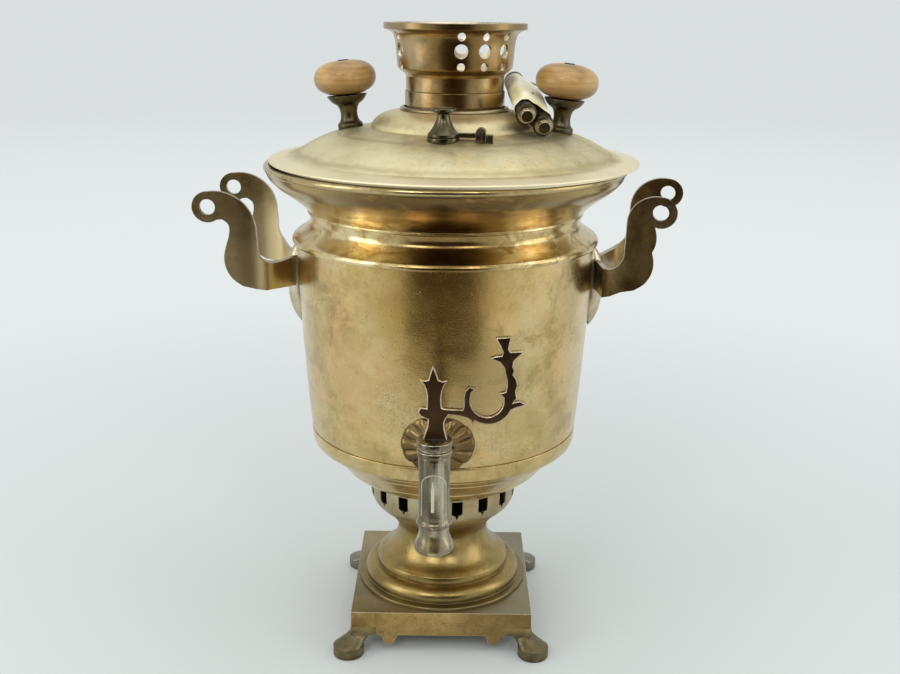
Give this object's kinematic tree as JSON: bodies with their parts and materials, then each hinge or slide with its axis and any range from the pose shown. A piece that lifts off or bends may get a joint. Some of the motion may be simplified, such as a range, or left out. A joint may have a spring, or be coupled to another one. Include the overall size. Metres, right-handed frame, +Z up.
{
  "type": "samovar",
  "caption": "Charcoal-fired brass samovar: jar-shaped body on a pedestal and footed base, lift-off domed lid with wooden knobs, pierced crown, scroll-key tap and side handle brackets.",
  "frame": {"origin": "on the floor under the middle of the square base, on the body's axis", "axes": "+Z up along the body, -Y towards the tap, +X to the right as seen from the tap"},
  "size_m": [0.3733, 0.3104, 0.48],
  "materials": {
    "base_brass": "aged cast brass, greyed on top",
    "pedestal_brass": "aged spun brass, semi-gloss",
    "vent_brass": "aged brass, satin",
    "grate_iron": "sooty cast iron",
    "body_brass": "aged brass, mottled, semi-gloss",
    "tube_brass": "reddish-brown dull brass",
    "bracket_bronze": "brown patina with bright edges",
    "rivet_brass": "aged brass",
    "rosette_brass": "pinkish-brown patina",
    "tap_bronze": "silvery grey-brown patina",
    "key_bronze": "dark brown with bright edges",
    "lid_brass": "pale yellow brass, satin",
    "lid_collar_brass": "dull golden brass",
    "stem_bronze": "dark greenish bronze",
    "knob_wood": "light tan turned wood, worn varnish",
    "rod_steel": "dark oxidised steel",
    "steam_brass": "dull brass",
    "steam_bronze": "brown patina",
    "crown_brass": "reddish-brown dull brass",
    "grip_wood": "dark turned wood with ringed caps",
    "wrap_paper": "cream paper and tape"
  },
  "bodies": {
    "samovar_body": {"base_plinth": "base_brass", "foot_front_left": "base_brass", "foot_front_right": "base_brass", "foot_rear_left": "base_brass", "foot_rear_right": "base_brass", "pedestal": "pedestal_brass", "vent_ring": "vent_brass", "grate": "grate_iron", "bowl_bottom": "body_brass", "body_wall": "body_brass", "shoulder_ring": "body_brass", "rim_ring": "body_brass", "fire_tube": "tube_brass", "tube_collar": "tube_brass", "handle_boss_left": "vent_brass", "handle_boss_right": "vent_brass", "handle_arm_left_front": "bracket_bronze", "handle_arm_left_rear": "bracket_bronze", "handle_arm_right_front": "bracket_bronze", "handle_arm_right_rear": "bracket_bronze", "handle_rivets": "rivet_brass", "tap_rosette": "rosette_brass", "tap_body": "tap_bronze"},
    "lid": {"lid_shell": "lid_brass", "lid_spigot": "lid_brass", "lid_collar": "lid_collar_brass", "knob_stem_left": "stem_bronze", "knob_stem_right": "stem_bronze", "knob_wood_left": "knob_wood", "knob_wood_right": "knob_wood", "knob_rod_left": "rod_steel", "knob_rod_right": "rod_steel", "knob_nuts": "rod_steel", "steam_seat": "steam_brass", "steam_hinge_post": "steam_bronze", "steam_hinge_pin": "rod_steel", "loose_grip_upper": "grip_wood", "loose_grip_lower": "grip_wood", "grip_wrap": "wrap_paper"},
    "steam_cap": {"steam_cap": "steam_bronze"},
    "crown": {"crown": "crown_brass", "crown_sleeve": "crown_brass"},
    "tap_valve": {"tap_plug": "tap_bronze", "tap_key": "key_bronze"}
  },
  "joints": [
    {"name": "lid_lift", "type": "slide", "parent": "samovar_body", "child": "lid", "axis": [0, 0, 1], "range_m": [0, 0.12]},
    {"name": "crown_lift", "type": "slide", "parent": "lid", "child": "crown", "axis": [0, 0, 1], "range_m": [0, 0.08]},
    {"name": "steam_cap_hinge", "type": "hinge", "parent": "lid", "child": "steam_cap", "pos_m": [0.02412, -0.07631, 0.4089], "axis": [0.1045, 0.9945, 0], "range_deg": [0, 110]},
    {"name": "tap_key_turn", "type": "hinge", "parent": "samovar_body", "child": "tap_valve", "pos_m": [-0.00496, -0.15792, 0.206], "axis": [0, 0, 1], "range_deg": [-215, 35]}
  ]
}
